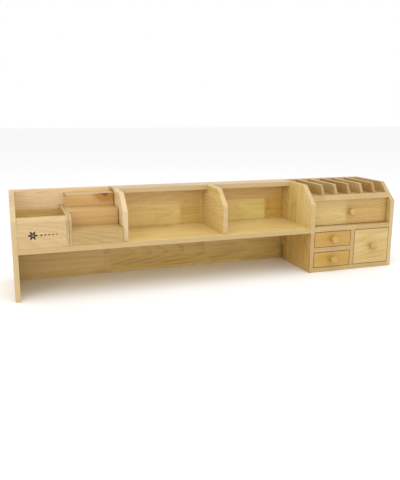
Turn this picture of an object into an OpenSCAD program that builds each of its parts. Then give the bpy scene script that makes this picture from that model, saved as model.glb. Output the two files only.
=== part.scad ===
// Desk hutch: a long wooden organiser that stands on a desk or bench.
// Left to right: open bin, stepped tool rack, two open bays, and a drawer
// cabinet with a letter rack on top.  Millimetres, +Z up, front towards -Y,
// origin at the middle of the footprint, on the surface it stands on.

/* [Overall] */
// Length of the whole hutch
total_length = 1200; // [1100:10:1300]
// Height of the side panels
total_height = 276; // [270:2:300]
// Depth from the front edges to the rear face, without the knobs
total_depth = 220; // [215:5:260]

/* [Boards] */
// Thickness of the upright panels
panel_t = 14; // [12:1:15]
// Thickness of the long shelf and of the other flat boards
shelf_t = 15; // [12:1:15]
// Thickness of the letter rack's dividers
letter_t = 9; // [6:1:10]
// Thickness of the two thin sides between bin and tool rack
thin_side_t = 6.7; // [5:0.1:7]
// Gap between those two thin sides
thin_side_gap = 0.6; // [0.4:0.1:2]

/* [Sloping front corner] */
// How far back the top edge of a side panel begins
slope_top_y = 62; // [50:2:80]
// Height where the straight front edge ends
slope_low_z = 220; // [216:2:224]

/* [Shelf and bays] */
// Height of the long shelf's upper face
shelf_top = 145; // [140:1:148]
// Distance from the left end to the bin's right side, outside
bin_right = 148.7; // [145:0.1:155]
// Left face of the panel that closes the tool rack
rack_panel_x = 298; // [295:1:303]
// Left face of the centre divider
centre_divider_x = 599; // [590:1:610]
// Left face of the drawer cabinet
cabinet_x = 892; // [885:1:900]
// How far the two bay dividers stand back from the shelf's front edge
divider_setback = 10; // [6:1:14]
// Depth of the rail that lies over the bays
rail_depth = 53; // [45:1:60]
// Height of the bin front's outer edge
bin_front_z = 216; // [211:1:218]

/* [Tool rack] */
// Thickness of its steps
step_t = 10; // [8:1:11]
// Height of the low step
low_step_z = 185; // [180:1:188]
// Height of the middle step
mid_step_z = 228; // [222:1:230]
// Front face of the middle step
mid_step_y = 73; // [66:1:78]
// Height of the high step
high_step_z = 265; // [255:1:268]
// Front face of the high step
high_step_y = 142; // [136:1:148]
// Thickness of the board that closes the high step's left end
step_end_t = 6; // [5:0.5:10]
// Tool holes in each step
holes_per_step = 8; // [4:1:8]
// Distance between tool holes
hole_pitch = 16; // [14:0.5:16.5]
// Diameter of a tool hole
hole_d = 5; // [4:0.5:6]

/* [Letter rack] */
// How far back the foot of a letter divider begins
letter_low_y = 31; // [29:1:36]
// How far back the top edge of a letter divider begins
letter_top_y = 47; // [40:1:62]

/* [Drawer cabinet] */
// Lower face of the letter rack's floor
letter_floor_z = 230; // [226:1:232]
// Lower face of the board under the wide drawer
mid_board_z = 132; // [126:1:134]
// How far the wide drawer's front stands back
wide_drawer_setback = 21; // [18:1:24]
// Width of the notch at the cabinet side's rear foot
notch_w = 24; // [20:1:30]
// Height of that notch
notch_h = 52; // [40:1:56]

/* [Drawers] */
// Thickness of a drawer's front
front_t = 14; // [12:1:16]
// Thickness of a drawer's sides and back
drawer_t = 9; // [8:1:10]
// Thickness of a drawer's bottom
bottom_t = 4; // [3:0.5:4]
// Length of the lower drawers' sides
drawer_l = 168; // [150:2:172]
// Gap all round a drawer's front
reveal = 1.5; // [1:0.25:2]

/* [Knobs and fixings] */
// Diameter of a knob
knob_d = 25; // [22:1:28]
// How far a knob stands out
knob_out = 22; // [20:1:24]
// Radius of a screw's shank
shank_r = 2; // [1.5:0.25:2]
// Radius of a screw's head and of the plug over it
plug_r = 4; // [3.5:0.5:4.5]

/* [Hidden] */

$fn = 48;

pale_wood = [0.90, 0.78, 0.58];
warm_wood = [0.86, 0.66, 0.40];
straw_wood = [0.88, 0.74, 0.50];
plug_wood = [0.74, 0.55, 0.33];
steel = [0.72, 0.72, 0.74];

// The boards are laid out from the front left bottom corner, then moved so
// that the origin is in the middle of the footprint, knobs included.
middle_x = total_length / 2;
middle_y = (total_depth - knob_out) / 2;

slope = (total_height - slope_low_z) / slope_top_y;
bin_top = bin_front_z + slope * panel_t;
back_y = total_depth - shelf_t;
rail_y = back_y - rail_depth;
rail_z = total_height - shelf_t;
rack_left_x = bin_right + thin_side_gap;
cabinet_left_in = cabinet_x + panel_t;
cabinet_right_in = total_length - panel_t;
cabinet_inner_w = cabinet_right_in - cabinet_left_in;
partition_x = (cabinet_left_in + cabinet_right_in - panel_t) / 2;
partition_right = partition_x + panel_t;
small_opening_h = (mid_board_z - 2 * shelf_t) / 2;
small_shelf_z = shelf_t + small_opening_h;
mid_board_top = mid_board_z + shelf_t;
letter_floor_top = letter_floor_z + shelf_t;
letter_slot_w = (cabinet_inner_w - 5 * letter_t) / 6;

// Tool rack
rack_inner_left = rack_left_x + thin_side_t;
rack_end_gap = 2;
rack_inner_right = rack_panel_x - rack_end_gap;
tread_gap = 3;
hole_row_w = (holes_per_step - 1) * hole_pitch;
first_hole_x = (rack_inner_left + rack_inner_right - hole_row_w) / 2;

// Drawers: [left, right, bottom, top of the opening, front face, side length]
slide_gap = 0.5;
box_side_gap = 1;
box_headroom = 7;
groove_d = 4;
groove_up = 6;
wide_drawer = [cabinet_left_in, cabinet_right_in, mid_board_top, letter_floor_z,
               wide_drawer_setback, drawer_l - 8];
upper_drawer = [cabinet_left_in, partition_x, small_shelf_z + shelf_t, mid_board_z, 0, drawer_l];
lower_drawer = [cabinet_left_in, partition_x, shelf_t, small_shelf_z, 0, drawer_l];
tall_drawer = [partition_right, cabinet_right_in, shelf_t, mid_board_z, 0, drawer_l];

// Knob profile
knob_foot_r = 7.5;
knob_foot_h = 3;
knob_neck_r = 5.5;
knob_neck_h = 8;
knob_ball_r = 14;
knob_screw_depth = 12;

// Fixings: screws lie under wooden plugs
screw_l = 40;
screw_head_h = 3;
plug_h = 4;
play = 0.05;
shelf_mid_z = shelf_top - shelf_t / 2;
end_rows = [30, 105, 180];
cabinet_rows = [45, 165];
cabinet_levels = [shelf_t / 2, mid_board_z + shelf_t / 2, letter_floor_z + shelf_t / 2];
back_shelf_x = [80, 230, 450, 750];
back_upright_x = [rack_panel_x + panel_t / 2, centre_divider_x + panel_t / 2];
back_cabinet_x = [cabinet_x + panel_t / 2, total_length - panel_t / 2];
back_upright_z = 205;
back_cabinet_z = [80, 190];
rail_screw_y = 184;

// ---- helpers ----

module in_frame()
    translate([-middle_x, -middle_y, 0])
        children();

// A board that stands across the hutch: an outline in Y and Z, thick along X.
module upright(x, thickness, outline)
    in_frame()
        translate([x, 0, 0])
            rotate([90, 0, 90])
                linear_extrude(thickness)
                    polygon(outline);

module board(low, high)
    in_frame()
        translate(low)
            cube(high - low);

function slope_z(y) = slope_low_z + slope * y;
function slope_y(z) = (z - slope_low_z) / slope;

// Full-height side panel with the sloping front corner.
function side_outline(bottom) = [
    [0, bottom], [back_y, bottom], [back_y, total_height],
    [slope_top_y, total_height], [0, slope_low_z]];

// Divider that stands on the shelf, with the top rail let into its rear corner.
function divider_outline(front) = [
    [front, shelf_top], [back_y, shelf_top], [back_y, rail_z], [rail_y, rail_z],
    [rail_y, total_height], [slope_top_y, total_height], [front, slope_z(front)]];

// Low side that meets the bevelled top of the bin's front.
low_side_outline = [
    [0, shelf_top], [back_y, shelf_top], [back_y, bin_top], [panel_t, bin_top], [0, bin_front_z]];

// Screw along +Z with its head at the origin's far side, and what it needs cut.
module screw_shape() {
    translate([0, 0, plug_h])
        cylinder(h = screw_head_h, r = plug_r - play);
    translate([0, 0, plug_h])
        cylinder(h = screw_l, r = shank_r);
}

module screw_cut() {
    translate([0, 0, -1])
        cylinder(h = plug_h + screw_head_h + 1 + play, r = plug_r);
    cylinder(h = plug_h + screw_l + play, r = shank_r + play);
}

module plug_shape()
    cylinder(h = plug_h - play, r = plug_r - play);

// Each group puts its children at every fixing of one kind, pointing inwards.
module at_left_end()
    for (y = end_rows)
        in_frame()
            translate([0, y, shelf_mid_z])
                rotate([0, 90, 0])
                    children();

module at_right_end()
    for (y = cabinet_rows, z = cabinet_levels)
        in_frame()
            translate([total_length, y, z])
                rotate([0, -90, 0])
                    children();

module at_back()
    for (p = concat(
            [for (x = back_shelf_x) [x, shelf_mid_z]],
            [for (x = back_upright_x) [x, back_upright_z]],
            [for (x = back_cabinet_x, z = back_cabinet_z) [x, z]]))
        in_frame()
            translate([p[0], total_depth, p[1]])
                rotate([90, 0, 0])
                    children();

module at_rail()
    for (x = back_upright_x)
        in_frame()
            translate([x, rail_screw_y, total_height])
                rotate([180, 0, 0])
                    children();

module at_every_fixing() {
    at_left_end() children();
    at_right_end() children();
    at_back() children();
    at_rail() children();
}

// ---- carcass ----

module left_end_panel()
    color(pale_wood)
        difference() {
            upright(0, panel_t, side_outline(0));
            at_left_end() screw_cut();
        }

module back_panel()
    color(warm_wood)
        difference() {
            board([0, back_y, 0], [total_length, total_depth, total_height]);
            at_back() screw_cut();
        }

module top_rail()
    color(pale_wood)
        difference() {
            board([rack_panel_x, rail_y, rail_z], [cabinet_x, back_y, total_height]);
            at_rail() screw_cut();
        }

module long_shelf()
    color(straw_wood)
        difference() {
            board([panel_t, 0, shelf_top - shelf_t], [cabinet_x, back_y, shelf_top]);
            at_left_end() screw_cut();
            at_back() screw_cut();
        }

// ---- bin ----

module bin_front()
    color(pale_wood)
        upright(panel_t, bin_right - thin_side_t - panel_t, [
            [0, shelf_top], [panel_t, shelf_top],
            [panel_t, bin_top], [0, bin_front_z]]);

module bin_right_side()
    color(pale_wood)
        upright(bin_right - thin_side_t, thin_side_t, low_side_outline);

// ---- tool rack ----

module tool_holes(y)
    for (k = [0 : holes_per_step - 1])
        in_frame()
            translate([first_hole_x + k * hole_pitch, y, shelf_top])
                cylinder(h = total_height, d = hole_d);

module tread(from_y, to_y, top)
    color(straw_wood)
        difference() {
            board([rack_inner_left, from_y, top - step_t], [rack_inner_right, to_y, top]);
            tool_holes((from_y + to_y) / 2);
        }

module riser(y, thickness, top)
    color(warm_wood)
        board([rack_inner_left, y, shelf_top], [rack_inner_right, y + thickness, top]);

module tool_rack_left_side()
    color(warm_wood)
        upright(rack_left_x, thin_side_t, low_side_outline);

module tool_rack_front() riser(0, panel_t, low_step_z);

module low_tread() tread(panel_t, mid_step_y - tread_gap, low_step_z);

module mid_riser() riser(mid_step_y, step_t, mid_step_z);

module mid_tread() tread(mid_step_y + step_t, high_step_y - tread_gap, mid_step_z);

module high_riser() riser(high_step_y, step_t, high_step_z);

module high_tread() tread(high_step_y + step_t, back_y, high_step_z);

module high_step_end()
    color(warm_wood)
        board([rack_inner_left, high_step_y + step_t, shelf_top],
              [rack_inner_left + step_end_t, back_y, high_step_z - step_t]);

// ---- dividers ----

module bay_divider(x)
    color(pale_wood)
        difference() {
            upright(x, panel_t, divider_outline(divider_setback));
            at_back() screw_cut();
            at_rail() screw_cut();
        }

module rack_end_divider() bay_divider(rack_panel_x);

module centre_divider() bay_divider(centre_divider_x);

// ---- drawer cabinet ----

module cabinet_left_side()
    color(pale_wood)
        difference() {
            upright(cabinet_x, panel_t, [
                [0, 0], [back_y - notch_w, 0], [back_y - notch_w, notch_h], [back_y, notch_h],
                [back_y, total_height], [slope_top_y, total_height], [0, slope_low_z]]);
            at_back() screw_cut();
        }

module cabinet_right_side()
    color(pale_wood)
        difference() {
            upright(cabinet_right_in, panel_t, side_outline(0));
            at_right_end() screw_cut();
            at_back() screw_cut();
        }

module flat_board(to_x, to_y, z)
    color(straw_wood)
        difference() {
            board([cabinet_left_in, 0, z], [to_x, to_y, z + shelf_t]);
            at_right_end() screw_cut();
        }

// The bottom ends before the notch, so that a cable can pass behind it.
module cabinet_bottom() flat_board(cabinet_right_in, back_y - notch_w, 0);

module mid_board() flat_board(cabinet_right_in, back_y, mid_board_z);

module small_drawer_shelf() flat_board(partition_x, back_y, small_shelf_z);

module drawer_partition()
    color(pale_wood)
        board([partition_x, 0, shelf_t], [partition_right, back_y - notch_w, mid_board_z]);

module letter_rack_floor()
    color(straw_wood)
        difference() {
            upright(cabinet_left_in, cabinet_inner_w, [
                [slope_y(letter_floor_z), letter_floor_z], [back_y, letter_floor_z],
                [back_y, letter_floor_top], [slope_y(letter_floor_top), letter_floor_top]]);
            at_right_end() screw_cut();
        }

module letter_divider(n)
    color(pale_wood)
        upright(cabinet_left_in + n * letter_slot_w + (n - 1) * letter_t, letter_t, [
            [letter_low_y, letter_floor_top], [back_y, letter_floor_top],
            [back_y, total_height], [letter_top_y, total_height]]);

// ---- drawers ----

function box_left(d) = d[0] + box_side_gap;
function box_right(d) = d[1] - box_side_gap;
function box_low(d) = d[2] + slide_gap;
function box_high(d) = d[3] - box_headroom;
function box_front(d) = d[4] + front_t;
function box_rear(d) = box_front(d) + d[5];
function panel_low(d) = box_low(d) + groove_up;
function knob_place(d) = [(d[0] + d[1]) / 2, d[4], (d[2] + d[3]) / 2];

// The bottom panel, as it lies in the grooves of the sides and the front.
module bottom_panel(d)
    board([box_left(d) + drawer_t - groove_d, box_front(d) - groove_d, panel_low(d)],
          [box_right(d) - drawer_t + groove_d, box_rear(d), panel_low(d) + bottom_t]);

module drawer_front(d)
    color(warm_wood)
        difference() {
            board([d[0] + reveal, d[4], d[2] + reveal], [d[1] - reveal, d[4] + front_t, d[3] - reveal]);
            bottom_panel(d);
            in_frame()
                translate(knob_place(d) - [0, 1, 0])
                    rotate([-90, 0, 0])
                        cylinder(h = front_t + 2, r = shank_r + play);
        }

module drawer_side(d, x)
    color(straw_wood)
        difference() {
            board([x, box_front(d), box_low(d)], [x + drawer_t, box_rear(d), box_high(d)]);
            bottom_panel(d);
        }

module drawer_left_side(d) drawer_side(d, box_left(d));

module drawer_right_side(d) drawer_side(d, box_right(d) - drawer_t);

module drawer_back(d)
    color(straw_wood)
        board([box_left(d) + drawer_t, box_rear(d) - drawer_t, panel_low(d) + bottom_t],
              [box_right(d) - drawer_t, box_rear(d), box_high(d)]);

module drawer_bottom(d)
    color(pale_wood)
        bottom_panel(d);

module drawer_knob(d)
    color(straw_wood)
        in_frame()
            translate(knob_place(d))
                rotate([90, 0, 0])
                    difference() {
                        union() {
                            cylinder(h = knob_foot_h, r = knob_foot_r);
                            cylinder(h = knob_neck_h, r = knob_neck_r);
                            intersection() {
                                translate([0, 0, knob_out - knob_ball_r])
                                    sphere(r = knob_ball_r);
                                translate([0, 0, knob_neck_h - 2])
                                    cylinder(h = knob_out, d = knob_d);
                            }
                        }
                        translate([0, 0, -1])
                            cylinder(h = knob_screw_depth + 1, r = shank_r + play);
                    }

module drawer_screw(d)
    color(steel)
        in_frame()
            translate(knob_place(d) + [0, front_t, 0])
                rotate([90, 0, 0]) {
                    translate([0, 0, -screw_head_h])
                        cylinder(h = screw_head_h, r = plug_r);
                    cylinder(h = front_t + knob_screw_depth - 1, r = shank_r);
                }

// ---- fixings ----

module panel_screws()
    color(steel)
        at_every_fixing() screw_shape();

module screw_plugs()
    color(plug_wood)
        at_every_fixing() plug_shape();

// ---- nodes ----

left_end_panel();
back_panel();
top_rail();
long_shelf();
bin_front();
bin_right_side();
tool_rack_left_side();
tool_rack_front();
low_tread();
mid_riser();
mid_tread();
high_riser();
high_tread();
high_step_end();
rack_end_divider();
centre_divider();
cabinet_left_side();
cabinet_right_side();
cabinet_bottom();
mid_board();
drawer_partition();
small_drawer_shelf();
letter_rack_floor();
letter_divider(1);  // letter_divider_1
letter_divider(2);  // letter_divider_2
letter_divider(3);  // letter_divider_3
letter_divider(4);  // letter_divider_4
letter_divider(5);  // letter_divider_5
drawer_front(wide_drawer);  // wide_drawer_front
drawer_left_side(wide_drawer);  // wide_drawer_left_side
drawer_right_side(wide_drawer);  // wide_drawer_right_side
drawer_back(wide_drawer);  // wide_drawer_back
drawer_bottom(wide_drawer);  // wide_drawer_bottom
drawer_knob(wide_drawer);  // wide_drawer_knob
drawer_screw(wide_drawer);  // wide_drawer_screw
drawer_front(upper_drawer);  // upper_drawer_front
drawer_left_side(upper_drawer);  // upper_drawer_left_side
drawer_right_side(upper_drawer);  // upper_drawer_right_side
drawer_back(upper_drawer);  // upper_drawer_back
drawer_bottom(upper_drawer);  // upper_drawer_bottom
drawer_knob(upper_drawer);  // upper_drawer_knob
drawer_screw(upper_drawer);  // upper_drawer_screw
drawer_front(lower_drawer);  // lower_drawer_front
drawer_left_side(lower_drawer);  // lower_drawer_left_side
drawer_right_side(lower_drawer);  // lower_drawer_right_side
drawer_back(lower_drawer);  // lower_drawer_back
drawer_bottom(lower_drawer);  // lower_drawer_bottom
drawer_knob(lower_drawer);  // lower_drawer_knob
drawer_screw(lower_drawer);  // lower_drawer_screw
drawer_front(tall_drawer);  // tall_drawer_front
drawer_left_side(tall_drawer);  // tall_drawer_left_side
drawer_right_side(tall_drawer);  // tall_drawer_right_side
drawer_back(tall_drawer);  // tall_drawer_back
drawer_bottom(tall_drawer);  // tall_drawer_bottom
drawer_knob(tall_drawer);  // tall_drawer_knob
drawer_screw(tall_drawer);  // tall_drawer_screw
panel_screws();
screw_plugs();
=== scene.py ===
"""The looks of a wooden desk hutch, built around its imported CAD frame."""

import math

import bmesh
import bpy
from mathutils import Matrix, Vector


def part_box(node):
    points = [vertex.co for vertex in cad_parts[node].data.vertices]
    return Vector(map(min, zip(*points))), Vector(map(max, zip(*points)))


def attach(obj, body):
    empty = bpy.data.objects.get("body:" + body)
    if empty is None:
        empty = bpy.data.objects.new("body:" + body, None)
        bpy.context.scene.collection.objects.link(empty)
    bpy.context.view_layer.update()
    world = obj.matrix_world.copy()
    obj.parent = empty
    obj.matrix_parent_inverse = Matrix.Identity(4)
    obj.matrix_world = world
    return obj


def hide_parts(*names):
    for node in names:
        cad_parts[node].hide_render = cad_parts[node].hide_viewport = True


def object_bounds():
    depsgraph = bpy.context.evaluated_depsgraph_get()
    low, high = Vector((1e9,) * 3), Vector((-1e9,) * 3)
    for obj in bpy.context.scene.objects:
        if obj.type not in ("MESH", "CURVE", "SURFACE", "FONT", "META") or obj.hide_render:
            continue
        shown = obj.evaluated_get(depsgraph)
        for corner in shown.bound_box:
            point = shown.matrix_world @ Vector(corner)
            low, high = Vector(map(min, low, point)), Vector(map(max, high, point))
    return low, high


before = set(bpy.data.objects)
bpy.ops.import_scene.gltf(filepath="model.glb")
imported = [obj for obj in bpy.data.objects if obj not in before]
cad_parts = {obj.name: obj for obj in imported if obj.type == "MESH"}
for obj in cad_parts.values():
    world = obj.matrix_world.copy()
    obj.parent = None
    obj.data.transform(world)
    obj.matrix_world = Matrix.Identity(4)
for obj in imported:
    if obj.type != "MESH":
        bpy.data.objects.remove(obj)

cad_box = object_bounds()
MM = 0.001


# ---------------------------------------------------------------- helpers
class Net:
    """Adds nodes to one tree and links them. A value is a number, a colour or a node's output."""

    def __init__(self, tree):
        self.tree = tree

    def feed(self, socket, value):
        if isinstance(value, bpy.types.NodeSocket):
            self.tree.links.new(value, socket)
        else:
            socket.default_value = value

    def put(self, kind, inputs=(), **settings):
        """A node with these settings, and these values in its sockets."""
        node = self.tree.nodes.new(kind)
        for key, value in settings.items():
            setattr(node, key, value)
        for key, value in dict(inputs).items():
            self.feed(node.inputs[key], value)
        return node

    def math(self, operation, *values):
        node = self.put("ShaderNodeMath", operation=operation)
        for socket, value in zip(node.inputs, values):
            self.feed(socket, value)
        return node.outputs[0]

    def add(self, a, b):
        return self.math("ADD", a, b)

    def sub(self, a, b):
        return self.math("SUBTRACT", a, b)

    def mul(self, a, b):
        return self.math("MULTIPLY", a, b)

    def div(self, a, b):
        return self.math("DIVIDE", a, b)

    def mul_add(self, a, b, c):
        return self.math("MULTIPLY_ADD", a, b, c)

    def hypot(self, a, b):
        return self.math("SQRT", self.add(self.mul(a, a), self.mul(b, b)))

    def step(self, value, low, high):
        """0 at low, 1 at high, smooth in between; low may be the larger of the two."""
        return self.put(
            "ShaderNodeMapRange",
            {"Value": value, "From Min": low, "From Max": high},
            interpolation_type="SMOOTHSTEP",
        ).outputs["Result"]

    def mix(self, factor, a, b):
        node = self.put("ShaderNodeMix", data_type="RGBA")
        for index, value in ((0, factor), (6, a), (7, b)):
            self.feed(node.inputs[index], value)
        return node.outputs[2]

    def combine(self, x, y, z):
        return self.put("ShaderNodeCombineXYZ", {"X": x, "Y": y, "Z": z}).outputs[0]

    def separate(self, vector):
        return self.put("ShaderNodeSeparateXYZ", {"Vector": vector}).outputs

    def channels(self, color):
        return self.put("ShaderNodeSeparateColor", {"Color": color}).outputs

    def random(self, vector):
        """A random number and a random colour for each whole vector."""
        return self.put("ShaderNodeTexWhiteNoise", {"Vector": vector}).outputs

    def noise(self, vector, detail, roughness=0.55):
        """A smooth noise between 0 and 1, as a number and as a colour."""
        inputs = {"Vector": vector, "Scale": 1.0, "Detail": detail, "Roughness": roughness}
        return self.put("ShaderNodeTexNoise", inputs).outputs

    def stretched(self, u, v, w, rates, shift=0.0):
        """A point scaled by one rate along the grain and by the other across it."""
        along, across = rates
        return self.combine(
            self.add(self.mul(u, along), shift), self.mul(v, across), self.mul(w, across)
        )

    def surface(self, inputs):
        """The material's shader, with these values in its sockets."""
        shader = self.put("ShaderNodeBsdfPrincipled", inputs)
        self.put("ShaderNodeOutputMaterial", {"Surface": shader.outputs[0]})


def new_material(name):
    """An empty material, and the net that fills it."""
    material = bpy.data.materials.new(name)
    material.use_nodes = True
    material.node_tree.nodes.clear()
    return material, Net(material.node_tree)


def new_object(name, data):
    o = bpy.data.objects.new(name, data)
    bpy.context.scene.collection.objects.link(o)
    return o


def mesh_object(name, work, material):
    """An object from a finished bmesh, with its faces looking outwards."""
    bmesh.ops.recalc_face_normals(work, faces=work.faces)
    mesh = bpy.data.meshes.new(name)
    work.to_mesh(mesh)
    work.free()
    mesh.materials.append(material)
    return new_object(name, mesh)


def shade_smooth(mesh):
    for face in mesh.polygons:
        face.use_smooth = True


# ---------------------------------------------------------------- the wood
# Finger joints between the pieces of a stave, and the dark line of glue.
FINGER_PITCH = 4.4 * MM
FINGER_DEPTH = 9 * MM
GLUE_LINE = 0.22 * MM

# How fast each noise changes along the grain and across it, per metre.
WANDER = (3.1, 8.0)
RIPPLE = (9.0, 240.0)
STREAK = (2.4, 95.0)
CLOUD = (6.0, 17.0)
FIBRE = (26.0, 900.0)
PORE = (120.0, 1900.0)
NOISE_SHIFT = 31.0  # moves each piece to its own part of the noises

# Where the pith of a piece's log lies, in metres: how far beside the piece's middle, how far from
# its face, how much it leans along the piece, and how far it wanders.
PITH_BESIDE = 0.13
PITH_NEAREST, PITH_RANGE = 0.016, 0.085
PITH_LEAN = 0.26
WANDER_ACROSS, WANDER_THROUGH = 0.030, 0.022
RING_NARROWEST, RING_RANGE = 0.0038, 0.0035

# How much each thing darkens the wood, and how dark it is between them.
BY_PIECE, BY_STREAK, BY_CLOUD, BY_RING = 0.60, 1.15, 0.55, 0.42
MEAN_SHADE = 0.40
HUE_SPREAD = 0.020

# Linear colours of the fine marks in the wood.
FIBRE_BROWN = (0.30, 0.15, 0.055, 1)
PORE_BROWN = (0.20, 0.095, 0.035, 1)
GLUE_BROWN = (0.16, 0.075, 0.025, 1)
END_BROWN = (0.33, 0.22, 0.125, 1)

# How squarely a face looks along an axis before it starts to count, and before it counts fully.
FACING = (0.5, 0.9)


def fingers(net, across):
    """How far the fingers of a joint reach along the grain at each place across it."""
    fold = net.math("PINGPONG", across, FINGER_PITCH / 2)
    return net.mul(fold, 2 * FINGER_DEPTH / FINGER_PITCH)


def make_wood_group():
    """Boards glued up from staves, each finger-jointed from pieces of different logs.

    Grain holds metres along the grain, across the face and through the board."""
    tree = bpy.data.node_groups.new("laminated_wood", "ShaderNodeTree")
    for way, kind, names in (
        ("INPUT", "Vector", ("Grain",)),
        ("INPUT", "Float", ("Stave", "Length", "Across", "Scatter", "Seed")),
        ("INPUT", "Float", ("Contrast", "Ring", "End", "Edge")),
        ("INPUT", "Color", ("Light", "Mid", "Dark", "Edge Tone")),
        ("OUTPUT", "Color", ("Color",)),
        ("OUTPUT", "Float", ("Roughness", "Height")),
    ):
        for name in names:
            tree.interface.new_socket(name, in_out=way, socket_type="NodeSocket" + kind)
    net = Net(tree)
    given = tree.nodes.new("NodeGroupInput").outputs
    u, v, w = net.separate(given["Grain"])

    # Which stave, and which piece of it.
    rows = net.div(net.add(v, given["Across"]), given["Stave"])
    row = net.math("FLOOR", rows)
    row_random = net.random(net.combine(row, given["Seed"], 0.5))[0]
    scatter = net.mul(net.mul(row_random, given["Scatter"]), given["Length"])
    columns = net.div(net.add(u, net.add(fingers(net, v), scatter)), given["Length"])
    column = net.math("FLOOR", columns)
    tone, random_color = net.random(net.combine(row, column, given["Seed"]))
    random_a, random_b, random_c = net.channels(random_color)

    # Growth rings: distance from the log's pith, which wanders along the piece.
    v_local = net.mul(net.sub(net.math("FRACT", rows), 0.5), given["Stave"])
    far = net.mul(tone, NOISE_SHIFT)
    wander = net.channels(net.noise(net.stretched(u, v_local, w, WANDER, far), 2.0)[1])
    lean = net.mul_add(tone, PITH_LEAN, -PITH_LEAN / 2)
    side = net.math("SIGN", net.sub(random_c, 0.5))
    pith_v = net.mul_add(random_a, PITH_BESIDE, -PITH_BESIDE / 2)
    pith_w = net.mul(net.mul_add(random_b, PITH_RANGE, PITH_NEAREST), side)
    from_v = net.sub(net.mul_add(wander[0], WANDER_ACROSS, v_local), pith_v)
    from_w = net.sub(net.mul_add(wander[1], WANDER_THROUGH, w), pith_w)
    radius = net.hypot(from_v, net.mul_add(u, lean, from_w))
    spacing = net.mul_add(random_c, RING_RANGE, RING_NARROWEST)
    ripple = net.noise(net.stretched(u, v, w, RIPPLE, far), 2.0)[0]
    turn = net.math("FRACT", net.add(net.div(radius, spacing), net.mul(ripple, 0.30)))
    ring = net.mul(net.math("POWER", turn, 2.4), net.step(turn, 1.0, 0.86))

    # Streaks, fibres and pores run along the grain.
    streak = net.noise(net.stretched(u, v, w, STREAK, far), 4.0, 0.62)[0]
    cloud = net.noise(net.stretched(u, v, w, CLOUD, far), 2.0)[0]
    fibre = net.noise(net.stretched(u, v, w, FIBRE, far), 2.0)[0]
    pore = net.step(net.noise(net.stretched(u, v, w, PORE, far), 1.0)[0], 0.63, 0.74)

    # Glue lines between staves, and the thin zigzag of a finger joint.
    to_row = net.mul(net.math("PINGPONG", rows, 0.5), given["Stave"])
    to_end = net.mul(net.math("PINGPONG", columns, 0.5), given["Length"])
    glue = net.step(to_row, GLUE_LINE, 0.0)
    finger = net.step(to_end, 2.2 * GLUE_LINE, 0.0)
    joint = net.math("MAXIMUM", net.mul(glue, 0.35), net.mul(finger, 0.5))

    # The shade runs from the light tone through the middle one to the dark one.
    shade = net.mul(net.sub(tone, 0.5), net.mul(given["Contrast"], BY_PIECE))
    shade = net.mul_add(net.sub(streak, 0.5), BY_STREAK, shade)
    shade = net.mul_add(net.sub(cloud, 0.5), BY_CLOUD, shade)
    shade = net.mul_add(net.mul(ring, given["Ring"]), BY_RING, shade)
    shade = net.add(shade, MEAN_SHADE)
    color = net.mix(net.step(shade, 0.0, 0.55), given["Light"], given["Mid"])
    color = net.mix(net.step(shade, 0.50, 1.15), color, given["Dark"])
    warm = net.mul(net.sub(random_b, 0.5), net.mul(given["Contrast"], HUE_SPREAD))
    turned = net.put("ShaderNodeHueSaturation", {"Hue": net.sub(0.5, warm), "Color": color})
    color = turned.outputs[0]
    color = net.mix(net.mul(net.step(fibre, 0.45, 0.85), 0.20), color, FIBRE_BROWN)
    color = net.mix(net.mul(pore, 0.50), color, PORE_BROWN)
    color = net.mix(net.mul(joint, 0.75), color, GLUE_BROWN)
    color = net.mix(given["End"], color, net.mix(0.40, color, END_BROWN))
    color = net.mix(given["Edge"], color, given["Edge Tone"])

    rough = net.mul_add(fibre, 0.16, 0.36)
    rough = net.mul_add(pore, 0.14, rough)
    rough = net.mul_add(given["End"], 0.12, rough)
    height = net.mul_add(fibre, 0.25, net.mul(ring, -0.12))
    height = net.mul_add(pore, -0.65, height)
    height = net.mul_add(joint, -0.6, height)
    net.put("NodeGroupOutput", {"Color": color, "Roughness": rough, "Height": height})
    return tree


wood_group = make_wood_group()

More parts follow.
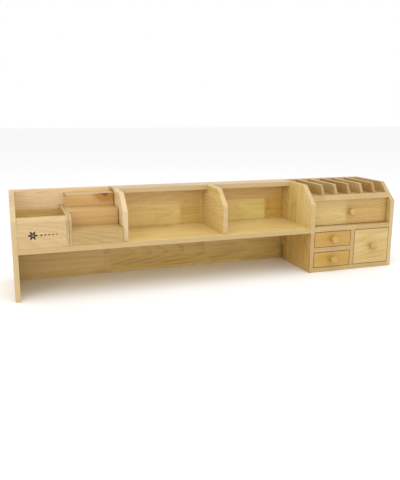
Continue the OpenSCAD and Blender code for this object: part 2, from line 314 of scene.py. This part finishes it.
# Light, middle and dark of each tone of wood, linear.
TONES = {
    "cream": ((0.600, 0.440, 0.215, 1), (0.515, 0.355, 0.150, 1), (0.370, 0.220, 0.075, 1)),
    "lemon": ((0.650, 0.485, 0.205, 1), (0.555, 0.382, 0.128, 1), (0.390, 0.225, 0.042, 1)),
    "straw": ((0.590, 0.425, 0.185, 1), (0.510, 0.340, 0.120, 1), (0.370, 0.210, 0.058, 1)),
    "gold": ((0.740, 0.575, 0.265, 1), (0.650, 0.470, 0.160, 1), (0.470, 0.300, 0.065, 1)),
    "brass": ((0.800, 0.640, 0.290, 1), (0.710, 0.540, 0.180, 1), (0.520, 0.345, 0.075, 1)),
    "linen": ((0.760, 0.590, 0.320, 1), (0.690, 0.505, 0.245, 1), (0.520, 0.340, 0.130, 1)),
    "ivory": ((0.880, 0.710, 0.440, 1), (0.820, 0.630, 0.350, 1), (0.600, 0.400, 0.165, 1)),
    "tan": ((0.700, 0.500, 0.220, 1), (0.630, 0.415, 0.145, 1), (0.450, 0.255, 0.060, 1)),
    "topaz": ((0.660, 0.465, 0.150, 1), (0.580, 0.365, 0.080, 1), (0.430, 0.240, 0.035, 1)),
    "honey": ((0.620, 0.430, 0.165, 1), (0.545, 0.345, 0.105, 1), (0.390, 0.210, 0.045, 1)),
    "ochre": ((0.570, 0.370, 0.105, 1), (0.490, 0.280, 0.050, 1), (0.350, 0.170, 0.020, 1)),
    "amber": ((0.640, 0.430, 0.175, 1), (0.555, 0.345, 0.110, 1), (0.400, 0.210, 0.048, 1)),
    "umber": ((0.720, 0.520, 0.195, 1), (0.595, 0.395, 0.112, 1), (0.400, 0.220, 0.042, 1)),
    "russet": ((0.480, 0.320, 0.120, 1), (0.400, 0.250, 0.075, 1), (0.290, 0.150, 0.030, 1)),
    "buff": ((0.560, 0.390, 0.170, 1), (0.480, 0.310, 0.105, 1), (0.350, 0.190, 0.045, 1)),
}
CUT = {
    "pale": (0.460, 0.322, 0.145, 1),
    "fair": (0.560, 0.410, 0.220, 1),
    "dull": (0.390, 0.275, 0.125, 1),
}


# A piece may be a patch of painted shade or painted light as well as a piece of another wood.
def choose_pieces(net, along, across, palette, seed, pieces):
    """The board's palette and seed, changed within each of its pieces, and the pieces' joints."""
    jointed = net.add(along, fingers(net, across))
    seams = 0.0
    for k, (tone, start, stop, low, high) in enumerate(pieces):
        inside, seam = 1.0, 0.0
        for place, limit, sign in (
            (jointed, start, 1), (jointed, stop, -1), (across, low, 1), (across, high, -1),
        ):
            if limit is None:
                continue
            past = net.mul(net.sub(place, limit), sign)
            inside = net.mul(inside, net.math("GREATER_THAN", past, 0.0))
            if place is jointed:
                near = net.step(net.math("ABSOLUTE", past), 2.5 * GLUE_LINE, 0.0)
                seam = net.math("MAXIMUM", seam, near)
        palette = [net.mix(inside, a, b) for a, b in zip(palette, TONES[tone])]
        seed = net.mul_add(inside, 50 + k, seed)
        seams = net.mul_add(seam, inside, seams)
    return palette, seed, seams


def wood(name, grain, through, tone, seed, stave=50, length=300, across=0, scatter=1.0,
         contrast=1.0, ring=1.0, knot=None, pieces=(), cut="pale", cut_by=0.6):
    """A wood material. grain and through are the axes along the grain and through the board.

    stave, length and across are in mm. Each of pieces is (tone, from, to, low, high): a piece of
    another tone between two places along the grain and two across the board, in metres. cut is
    the tone of the board's long edges, and cut_by says how strongly it shows."""
    material, net = new_material(name)
    where = net.put("ShaderNodeTexCoord").outputs
    point = dict(zip("xyz", net.separate(where["Object"])))
    facing = dict(zip("xyz", net.separate(where["Normal"])))
    wide = next(axis for axis in "xyz" if axis not in (grain, through))
    palette = TONES[tone]
    if pieces:
        palette, seed, seams = choose_pieces(
            net, point[grain], point[wide], palette, seed, pieces
        )
    made = net.put("ShaderNodeGroup", {
        "Grain": net.combine(point[grain], point[wide], point[through]),
        "Stave": stave * MM, "Length": length * MM, "Across": across * MM,
        "Scatter": scatter, "Seed": seed, "Contrast": contrast, "Ring": ring,
        "Light": palette[0], "Mid": palette[1], "Dark": palette[2], "Edge Tone": CUT[cut],
        "End": net.step(net.math("ABSOLUTE", facing[grain]), *FACING),
        "Edge": net.mul(net.step(net.math("ABSOLUTE", facing[wide]), *FACING), cut_by),
    }, node_tree=wood_group).outputs
    color = made["Color"]
    if pieces:
        color = net.mix(net.mul(seams, 0.45), color, GLUE_BROWN)
    if knot:
        color = add_knot(net, color, point, knot)
    bump = net.put(
        "ShaderNodeBump", {"Height": made["Height"], "Distance": 0.00012, "Strength": 0.55}
    )
    net.surface({
        "Base Color": color, "Roughness": made["Roughness"], "Normal": bump.outputs[0],
        "IOR": 1.48, "Coat Weight": 0.22, "Coat Roughness": 0.28,
    })
    return material


def add_knot(net, color, point, knot):
    """Half a knot cut off by the board's top edge: a dark wedge in a warm halo.

    knot is the x and z of its middle."""
    dx = net.sub(point["x"], knot[0])
    dz = net.sub(point["z"], knot[1])
    uneven = net.noise(net.combine(net.mul(dx, 110.0), net.mul(dz, 160.0), 0.0), 3.0)[0]
    wobble = net.mul_add(uneven, 8 * MM, -4 * MM)
    around = net.add(net.hypot(net.div(dx, 1.25), dz), wobble)
    wedge = net.add(net.mul(net.math("ABSOLUTE", dx), 0.62), net.math("ABSOLUTE", dz))
    wedge = net.add(wedge, wobble)
    halo = net.step(around, 38 * MM, 18 * MM)
    rings = net.math("PINGPONG", net.div(around, 2.3 * MM), 1.0)
    core = net.step(wedge, 15 * MM, 8 * MM)
    heart = net.step(wedge, 8 * MM, 2 * MM)
    for layer, strength, paint in (
        (halo, 0.90, (0.43, 0.185, 0.014, 1)),
        (net.mul(rings, halo), 0.22, (0.30, 0.12, 0.022, 1)),
        (core, 0.90, (0.150, 0.055, 0.008, 1)),
        (heart, 0.70, (0.060, 0.026, 0.007, 1)),
    ):
        color = net.mix(net.mul(layer, strength), color, paint)
    return color


def steel():
    """Zinc-plated steel with a faint mottle."""
    material, net = new_material("zinc_steel")
    point = net.put("ShaderNodeTexCoord").outputs["Object"]
    inputs = {"Vector": point, "Scale": 900.0, "Detail": 3.0}
    mottle = net.put("ShaderNodeTexNoise", inputs).outputs[0]
    net.surface({
        "Base Color": net.mix(mottle, (0.42, 0.42, 0.41, 1), (0.62, 0.61, 0.58, 1)),
        "Roughness": net.mul_add(mottle, 0.22, 0.24),
        "Metallic": 1.0,
    })
    return material


def char():
    """Wood burned by a hot iron: nearly black, brown where it thins out."""
    material, net = new_material("burned_wood")
    u, v, w = net.separate(net.put("ShaderNodeTexCoord").outputs["Object"])
    patch = net.noise(net.stretched(u, v, w, (300.0, 500.0)), 3.0)[0]
    line = net.noise(net.stretched(u, v, w, (40.0, 1400.0)), 2.0)[0]
    thin = net.mul(net.step(patch, 0.35, 0.75), net.step(line, 0.3, 0.7))
    bump = net.put("ShaderNodeBump", {"Height": line, "Distance": 0.0001, "Strength": 0.6})
    net.surface({
        "Base Color": net.mix(thin, (0.018, 0.012, 0.008, 1), (0.075, 0.038, 0.018, 1)),
        "Roughness": net.mul_add(line, 0.2, 0.62),
        "Normal": bump.outputs[0],
    })
    return material


# ---------------------------------------------------------------- which board is what
# Ways that boards are made up: from one piece, and from wide, narrow or short staves.
WHOLE = {"stave": 400, "length": 900, "scatter": 0.0, "contrast": 0.35}
STAVES = {"stave": 70, "length": 420}
LOW_SIDE = {"stave": 90, "length": 700, "cut_by": 0.0}
DIVIDER = {"stave": 65, "length": 700}
CABINET_SIDE = {"stave": 56, "length": 700}
BOX = {"stave": 90, "length": 400}

shelf_low, shelf_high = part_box("long_shelf")
shelf_middle = (shelf_low.z + shelf_high.z) / 2
rack_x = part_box("rack_end_divider")[0].x
bay_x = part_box("centre_divider")[0].x
side_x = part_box("cabinet_left_side")[0].x
glue_z = 215 * MM  # the glue line between the back panel's two upper staves
BACK_PIECES_AND_PAINTED_SHADE = (
    # Painted shade under the shelf: the back panel is umber and tan below the shelf's middle.
    ("umber", rack_x, None, None, shelf_middle),
    ("tan", None, rack_x, None, shelf_middle),
    # The bin's back is a paler stave above the glue line and a darker one below; the pale ivory
    # also paints light into the bin.
    ("ivory", None, rack_x, glue_z, None),
    ("gold", None, rack_x, shelf_middle, glue_z),
    ("tan", rack_x, bay_x, glue_z, None),
    ("tan", bay_x + 60 * MM, None, glue_z, None),
    # Painted shade in the bays' right-hand corners, beside the centre divider and the cabinet's
    # left side.
    ("topaz", bay_x - 70 * MM, bay_x, shelf_middle, glue_z),
    ("topaz", side_x - 60 * MM, None, shelf_middle, glue_z),
)
# Painted shade under the shelf: the cabinet's left side is umber below the shelf's middle.
SIDE_PAINTED_SHADE = (("umber", None, shelf_middle, None, None),)

wide_low, wide_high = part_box("wide_drawer_front")
wide_joint = wide_low.x + 0.46 * (wide_high.x - wide_low.x)
WIDE_PIECES = (("honey", wide_joint, None, None, None),)

riser_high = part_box("high_riser")[1]
TOP_KNOT = (riser_high.x - 25 * MM, riser_high.z + 2 * MM)

# Each board's tone and cut are partly painted light and shade: boards in the bays, in the bin and
# facing left have lighter tones, and boards facing front, the step treads and the shelf's front
# edge darker ones.
# node: (grain axis, axis through the board, tone, seed, further settings)
BOARDS = {
    "left_end_panel": ("z", "x", "linen", 3, {"stave": 62, "length": 700}),
    "back_panel": ("x", "y", "brass", 11, {
        "stave": 69, "across": 61, "length": 460, "contrast": 0.7, "ring": 0.9,
        "pieces": BACK_PIECES_AND_PAINTED_SHADE,
    }),
    "top_rail": ("x", "z", "cream", 5, {
        "stave": 60, "length": 380, "contrast": 0.6, "cut": "fair",
    }),
    "long_shelf": ("x", "z", "gold", 8, {
        "stave": 52, "length": 420, "contrast": 0.6, "cut_by": 0.85,
    }),
    "bin_front": ("x", "y", "cream", 13, {**WHOLE, "cut_by": 0.0}),
    "bin_right_side": ("y", "x", "cream", 17, LOW_SIDE),
    "tool_rack_left_side": ("y", "x", "cream", 19, LOW_SIDE),
    "tool_rack_front": ("x", "y", "russet", 27, WHOLE),
    "low_tread": ("x", "z", "buff", 29, WHOLE),
    "mid_riser": ("x", "y", "amber", 31, WHOLE),
    "mid_tread": ("x", "z", "amber", 37, WHOLE),
    "high_riser": ("x", "y", "amber", 41, {**WHOLE, "knot": TOP_KNOT}),
    "high_tread": ("x", "z", "buff", 43, WHOLE),
    "high_step_end": ("z", "x", "ivory", 45, WHOLE),
    "rack_end_divider": ("y", "x", "ivory", 47, {**DIVIDER, "contrast": 0.6}),
    "centre_divider": ("y", "x", "gold", 53, {**DIVIDER, "contrast": 0.8, "ring": 1.4}),
    "cabinet_left_side": ("z", "x", "gold", 59, {
        **CABINET_SIDE, "contrast": 0.8, "cut": "dull", "pieces": SIDE_PAINTED_SHADE,
    }),
    "cabinet_right_side": ("z", "x", "straw", 61, {
        **CABINET_SIDE, "contrast": 0.6, "cut": "fair",
    }),
    "cabinet_bottom": ("x", "z", "straw", 67, STAVES),
    "mid_board": ("x", "z", "straw", 71, STAVES),
    "small_drawer_shelf": ("x", "z", "straw", 73, STAVES),
    "drawer_partition": ("z", "x", "straw", 79, STAVES),
    # Painted shade in the letter rack's slots: its floor takes the dark russet tone.
    "letter_rack_floor": ("x", "z", "russet", 83, {**STAVES, "cut": "fair"}),
    "wide_drawer_front": ("x", "y", "lemon", 89, {**WHOLE, "pieces": WIDE_PIECES}),
    "upper_drawer_front": ("x", "y", "ochre", 97, WHOLE),
    "lower_drawer_front": ("x", "y", "ochre", 101, WHOLE),
    "tall_drawer_front": ("x", "y", "lemon", 103, WHOLE),
}
# Painted shade in the letter rack's slots: the dividers take the dark russet and buff tones, and
# their long edges the lighter fair cut.
for number in range(1, 6):
    BOARDS[f"letter_divider_{number}"] = (
        "y", "x", "russet" if number % 2 else "buff", 107 + 4 * number,
        {"stave": 60, "cut": "fair", "contrast": 0.5},
    )
THIN_BOARDS = ("letter_divider", "bin_right", "tool_rack_left")
DRAWERS = ("wide_drawer", "upper_drawer", "lower_drawer", "tall_drawer")

# Easing of the boards' edges: its radius, and which edges are eased.
ROUND = 0.9 * MM
THIN_ROUND = 0.6 * MM
LONG_EDGE = 3 * MM
SHARP_EDGE = math.radians(35)
FLAT_WITHIN = math.radians(0.5)
WELD_WITHIN = 0.00001
EASED = "bevel_weight_edge"


def make_long_edges():
    """Marks a board's long sharp edges for the bevel, and so leaves out its drilled holes' rims."""
    tree = bpy.data.node_groups.new("long_edges", "GeometryNodeTree")
    for way in ("INPUT", "OUTPUT"):
        tree.interface.new_socket("Geometry", in_out=way, socket_type="NodeSocketGeometry")
    net = Net(tree)
    angle = net.put("GeometryNodeInputMeshEdgeAngle").outputs["Unsigned Angle"]
    ends = net.put("GeometryNodeInputMeshEdgeVertices").outputs
    length = net.put("ShaderNodeVectorMath", operation="DISTANCE")
    net.feed(length.inputs[0], ends["Position 1"])
    net.feed(length.inputs[1], ends["Position 2"])
    long = net.math("GREATER_THAN", length.outputs["Value"], LONG_EDGE)
    sharp = net.math("GREATER_THAN", angle, SHARP_EDGE)
    store = net.put("GeometryNodeStoreNamedAttribute", data_type="FLOAT", domain="EDGE")
    store.inputs["Name"].default_value = EASED
    net.feed(store.inputs["Geometry"], net.put("NodeGroupInput").outputs[0])
    net.feed(store.inputs["Value"], net.mul(long, sharp))
    net.feed(net.put("NodeGroupOutput").inputs[0], store.outputs[0])
    return tree


long_edges = make_long_edges()


def dress(node, material, round_by=None):
    """Gives a CAD node its material, and eases its edges."""
    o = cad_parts[node]
    o.data.materials.clear()
    o.data.materials.append(material)
    o.modifiers.new("weld", "WELD").merge_threshold = WELD_WITHIN
    if round_by is None:
        return
    flat = o.modifiers.new("flat", "DECIMATE")
    flat.decimate_type, flat.angle_limit = "DISSOLVE", FLAT_WITHIN
    o.modifiers.new("mark", "NODES").node_group = long_edges
    bevel = o.modifiers.new("eased", "BEVEL")
    bevel.width, bevel.segments, bevel.limit_method = round_by, 3, "WEIGHT"
    bevel.edge_weight, bevel.use_clamp_overlap = EASED, False
    o.modifiers.new("shade", "WEIGHTED_NORMAL").keep_sharp = False
    shade_smooth(o.data)


for name, (grain, through, tone, seed, more) in BOARDS.items():
    board = wood("wood_" + name, grain, through, tone, seed, **more)
    dress(name, board, THIN_ROUND if name.startswith(THIN_BOARDS) else ROUND)

for k, drawer in enumerate(DRAWERS):
    seed = 131 + 7 * k
    side = wood(f"wood_{drawer}_sides", "y", "x", "straw", seed, **BOX)
    back = wood(f"wood_{drawer}_back", "x", "y", "straw", seed + 2, **BOX)
    base = wood(f"wood_{drawer}_bottom", "x", "z", "cream", seed + 4, stave=300, length=600)
    for part, material in (
        ("left_side", side), ("right_side", side), ("back", back), ("bottom", base),
    ):
        dress(f"{drawer}_{part}", material, THIN_ROUND)

screw_steel = steel()
for node in ("panel_screws", *(f"{drawer}_screw" for drawer in DRAWERS)):
    dress(node, screw_steel)
dress("screw_plugs", wood("wood_screw_plugs", "y", "x", "amber", 151, stave=400, length=600))


# ---------------------------------------------------------------- turned knobs
# Radius and distance out from the drawer front, in mm.
KNOB_PROFILE = (
    (0, 0), (7.0, 0), (7.4, 0.4), (7.5, 1.2), (7.3, 2.0), (6.4, 2.8), (5.6, 4.0), (5.3, 5.6),
    (5.6, 7.2), (6.6, 8.6), (8.6, 9.9), (10.6, 11.2), (12.0, 12.9), (12.5, 14.8), (12.3, 16.6),
    (11.4, 18.4), (9.6, 20.1), (7.0, 21.3), (3.6, 21.9), (0, 22.0),
)
KNOB_SEGMENTS = 64


def make_knob(drawer, seed):
    """A turned knob on the drawer's front, its axis along Y."""
    low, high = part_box(f"{drawer}_knob")
    centre = (low + high) / 2
    work = bmesh.new()
    spans = []
    for radius, out in KNOB_PROFILE:
        ring = []
        for k in range(KNOB_SEGMENTS if radius else 1):
            angle = 2 * math.pi * k / KNOB_SEGMENTS
            ring.append(work.verts.new((
                centre.x + radius * MM * math.cos(angle),
                high.y - out * MM,
                centre.z + radius * MM * math.sin(angle),
            )))
        spans.append(ring)
    for a, b in zip(spans, spans[1:]):
        for k in range(KNOB_SEGMENTS):
            n = (k + 1) % KNOB_SEGMENTS
            corners = [a[k % len(a)], a[n % len(a)], b[n % len(b)], b[k % len(b)]]
            work.faces.new(list(dict.fromkeys(corners)))
    turned = wood(f"wood_{drawer}_knob", "x", "y", "ochre", seed, stave=500, length=900,
                  ring=1.3, contrast=0.4, cut_by=0.0)
    knob = mesh_object(f"{drawer}_turned_knob", work, turned)
    shade_smooth(knob.data)
    smooth = knob.modifiers.new("smooth", "SUBSURF")
    smooth.levels = smooth.render_levels = 1
    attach(knob, drawer)
    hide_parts(f"{drawer}_knob")


for k, drawer in enumerate(DRAWERS):
    make_knob(drawer, 163 + 5 * k)


# ---------------------------------------------------------------- burned rosette
PETALS, PETAL_POINTS = 6, 28
HEART_RADIUS, HEART_POINTS = 1.3 * MM, 24
LOZENGES = 5


def make_emblem():
    """A plain rosette and a row of lozenges, burned into the bin's front."""
    low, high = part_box("bin_front")
    proud, sunk = 0.06 * MM, 0.4 * MM
    x0, z0 = low.x + 40 * MM, (low.z + high.z) / 2 - 6 * MM
    work = bmesh.new()

    def plate(points):
        """A thin closed plate with this outline, on the bin's front."""
        front = [work.verts.new((x, low.y - proud, z)) for x, z in points]
        back = [work.verts.new((x, low.y + sunk, z)) for x, z in points]
        work.faces.new(front)
        work.faces.new(back[::-1])
        for k in range(len(points)):
            n = (k + 1) % len(points)
            work.faces.new((front[k], back[k], back[n], front[n]))

    for petal in range(PETALS):
        turn = 2 * math.pi * petal / PETALS
        outline = []
        for k in range(PETAL_POINTS):
            t = 2 * math.pi * k / PETAL_POINTS
            along = (7.6 + 5.4 * math.cos(t)) * MM
            aside = 2.7 * MM * math.sin(t) * (1 - 0.25 * math.cos(t))
            outline.append((
                x0 + along * math.cos(turn) - aside * math.sin(turn),
                z0 + along * math.sin(turn) + aside * math.cos(turn),
            ))
        plate(outline)
    heart = []
    for k in range(HEART_POINTS):
        t = 2 * math.pi * k / HEART_POINTS
        heart.append((x0 + HEART_RADIUS * math.cos(t), z0 + HEART_RADIUS * math.sin(t)))
    plate(heart)
    for k in range(LOZENGES):
        x, half = x0 + (22 + 10 * k) * MM, (4.2 - 0.3 * k) * MM
        plate([(x - half, z0), (x, z0 - 0.62 * half), (x + half, z0), (x, z0 + 0.62 * half)])
    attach(mesh_object("burned_rosette", work, char()), "carcass")


make_emblem()


# ---------------------------------------------------------------- stage
AIM = Vector((0.05, 0, 0.12))
# name: (place, size, power)
LIGHTS = {
    "key": ((-2.2, -1.9, 2.0), 1.6, 13),
    "fill": ((-0.3, -2.9, 0.8), 1.8, 7),
    "top": ((0.2, -0.7, 2.6), 2.2, 20),
}


def make_stage():
    """A plain pale floor, soft studio light and an even white surround."""
    bpy.ops.mesh.primitive_plane_add(size=30, location=(0, 0, cad_box[0].z))
    floor = bpy.context.object
    floor.name = "floor"
    paint = bpy.data.materials.new("floor_paint")
    paint.use_nodes = True
    shader = paint.node_tree.nodes["Principled BSDF"]
    shader.inputs["Base Color"].default_value = (0.93, 0.93, 0.93, 1)
    shader.inputs["Roughness"].default_value = 0.9
    floor.data.materials.append(paint)

    world = bpy.data.worlds.new("surround")
    bpy.context.scene.world = world
    world.use_nodes = True
    surround = world.node_tree.nodes["Background"].inputs
    surround["Color"].default_value, surround["Strength"].default_value = (1, 1, 1, 1), 1.0

    for name, (spot, size, power) in LIGHTS.items():
        lamp = bpy.data.lights.new(name, "AREA")
        lamp.size, lamp.energy = size, power
        light = new_object(name, lamp)
        light.location = spot
        light.rotation_mode = "QUATERNION"
        light.rotation_quaternion = (AIM - Vector(spot)).to_track_quat("-Z", "Y")


def make_camera():
    """The camera stands to the left of the hutch and above it, and looks at its right half."""
    spot = (-0.5914, -1.5730, 0.5052)
    yaw, pitch, roll = 0.3323, 0.2091, 0.0054
    flat = math.cos(pitch)
    forward = Vector((math.sin(yaw) * flat, math.cos(yaw) * flat, -math.sin(pitch)))
    right = Vector((math.cos(yaw), -math.sin(yaw), 0))
    up = right.cross(forward)
    across = math.cos(roll) * right + math.sin(roll) * up
    upward = math.cos(roll) * up - math.sin(roll) * right
    data = bpy.data.cameras.new("camera")
    data.lens, data.sensor_width, data.clip_start = 41.03, 36, 0.01
    data.shift_x, data.shift_y = 0.0029, -0.0267
    camera = new_object("camera", data)
    rows = zip(across, upward, -forward, spot)
    camera.matrix_world = Matrix((*rows, (0, 0, 0, 1)))
    bpy.context.scene.camera = camera


make_stage()
make_camera()
bpy.context.scene.view_settings.view_transform = "Standard"
